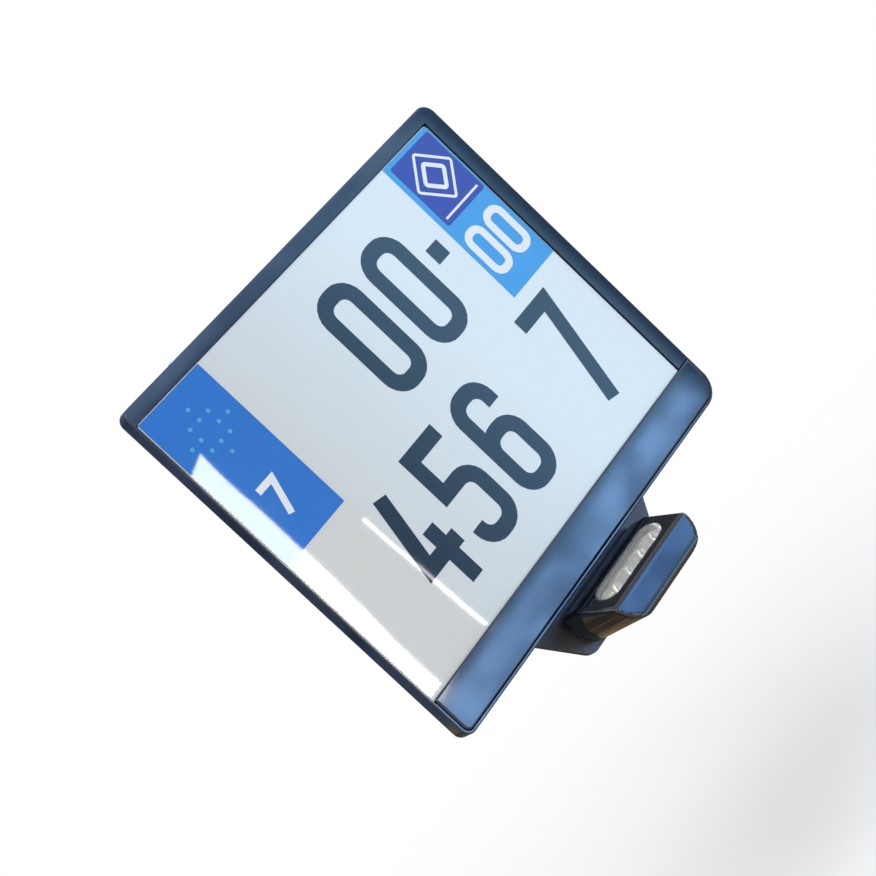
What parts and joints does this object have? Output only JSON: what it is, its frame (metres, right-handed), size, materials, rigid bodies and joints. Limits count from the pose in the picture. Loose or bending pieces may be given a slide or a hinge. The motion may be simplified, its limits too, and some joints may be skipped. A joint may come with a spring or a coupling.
{
  "type": "side mount license plate holder",
  "caption": "Side mount licence plate holder for a motorcycle: plate in a moulded tray on a folded steel carrier, with a lamp below and a flat arm to the swingarm.",
  "frame": {"origin": "centre of the spacer block's inboard face, midway between the two swingarm bolts", "axes": "+X is the reading direction of the plate and points inboard to the swingarm, +Z is the plate's up, -Y is where the plate faces"},
  "size_m": [0.2048, 0.1766, 0.1736],
  "materials": {
    "plate_acrylic": "clear acrylic over a white reflective film",
    "tray_plastic": "gloss black moulding",
    "foam": "closed-cell foam tape",
    "black_steel": "satin black powder coat",
    "zinc_steel": "bright zinc",
    "stainless": "stainless steel",
    "lamp_plastic": "gloss black moulding",
    "lens_clear": "clear moulded lens",
    "reflector_chrome": "vacuum-metallised plastic",
    "board_green": "circuit board",
    "led_white": "light-emitting chip",
    "rubber": "matte rubber",
    "brass": "turned brass",
    "anodised": "black anodised aluminium"
  },
  "bodies": {
    "root": {"number_plate": "plate_acrylic", "plate_tray": "tray_plastic", "retaining_strip": "tray_plastic", "adhesive_pad_1": "foam", "adhesive_pad_2": "foam", "adhesive_pad_3": "foam", "adhesive_pad_4": "foam", "carrier_panel": "black_steel", "tray_screw_1": "stainless", "tray_screw_2": "stainless", "tray_screw_3": "stainless", "tray_screw_4": "stainless", "lamp_bracket": "black_steel", "stud_washer_1": "zinc_steel", "stud_washer_2": "zinc_steel", "stud_nut_1": "zinc_steel", "stud_nut_2": "zinc_steel", "lamp_housing": "lamp_plastic", "lamp_lens": "lens_clear", "lamp_reflector": "reflector_chrome", "lamp_board": "board_green", "led_1": "led_white", "led_2": "led_white", "led_3": "led_white", "led_4": "led_white", "lamp_gasket": "rubber", "cable_grommet": "rubber", "lamp_insert_1": "brass", "lamp_insert_2": "brass", "lamp_washer_1": "stainless", "lamp_washer_2": "stainless", "lamp_screw_1": "stainless", "lamp_screw_2": "stainless", "arm": "black_steel", "spacer_block": "anodised", "arm_bolt_1": "stainless", "arm_bolt_2": "stainless", "arm_washer_1": "stainless", "arm_washer_2": "stainless", "arm_nut_1": "stainless", "arm_nut_2": "stainless", "mount_bolt_1": "stainless", "mount_bolt_2": "stainless", "mount_washer_1": "stainless", "mount_washer_2": "stainless"}
  },
  "joints": []
}
